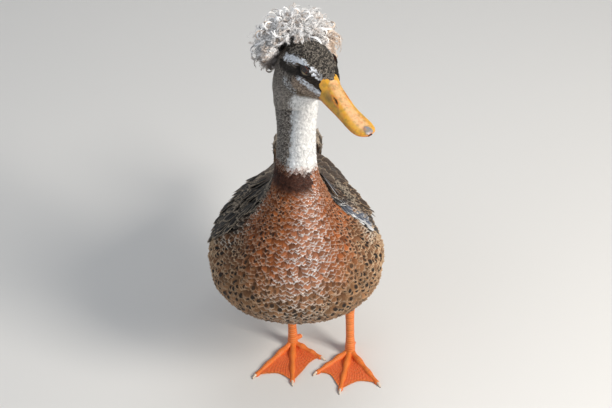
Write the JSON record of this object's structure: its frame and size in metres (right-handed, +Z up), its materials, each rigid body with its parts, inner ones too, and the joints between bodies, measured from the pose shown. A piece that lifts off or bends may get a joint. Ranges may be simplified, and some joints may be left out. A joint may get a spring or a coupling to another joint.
{
  "type": "crested domestic duck",
  "caption": "Life-size still model of a crested domestic duck standing on its webbed feet, head turned to its left, wings folded.",
  "frame": {"origin": "on the floor, under the middle of the bird's box", "axes": "+Z up, the bird faces -Y, its left side is towards +X"},
  "size_m": [0.1814, 0.337, 0.4253],
  "materials": {
    "plumage": "soft body feathers, chestnut breast laced white and spotted black, white foreneck, dark striped head",
    "crest_down": "loose curled white down feathers flecked with brown",
    "flight_feathers": "close webbed brown feathers with pale edges",
    "bill_skin": "smooth waxy yellow-orange skin over the bill",
    "leg_skin": "orange scaled skin, webs finely wrinkled",
    "claw_horn": "pale horn with dark tips",
    "eye": "wet dark red-brown eye"
  },
  "bodies": {
    "root": {"torso": "plumage", "thigh_left": "plumage", "thigh_right": "plumage", "neck": "plumage", "head": "plumage", "crest": "crest_down", "wing_left": "flight_feathers", "wing_right": "flight_feathers", "tail": "flight_feathers", "bill_upper": "bill_skin", "bill_lower": "bill_skin", "eye_left": "eye", "eye_right": "eye", "leg_left": "leg_skin", "leg_right": "leg_skin", "foot_left": "leg_skin", "foot_right": "leg_skin", "claw_left_1": "claw_horn", "claw_left_2": "claw_horn", "claw_left_3": "claw_horn", "claw_left_4": "claw_horn", "claw_right_1": "claw_horn", "claw_right_2": "claw_horn", "claw_right_3": "claw_horn", "claw_right_4": "claw_horn"}
  },
  "joints": []
}
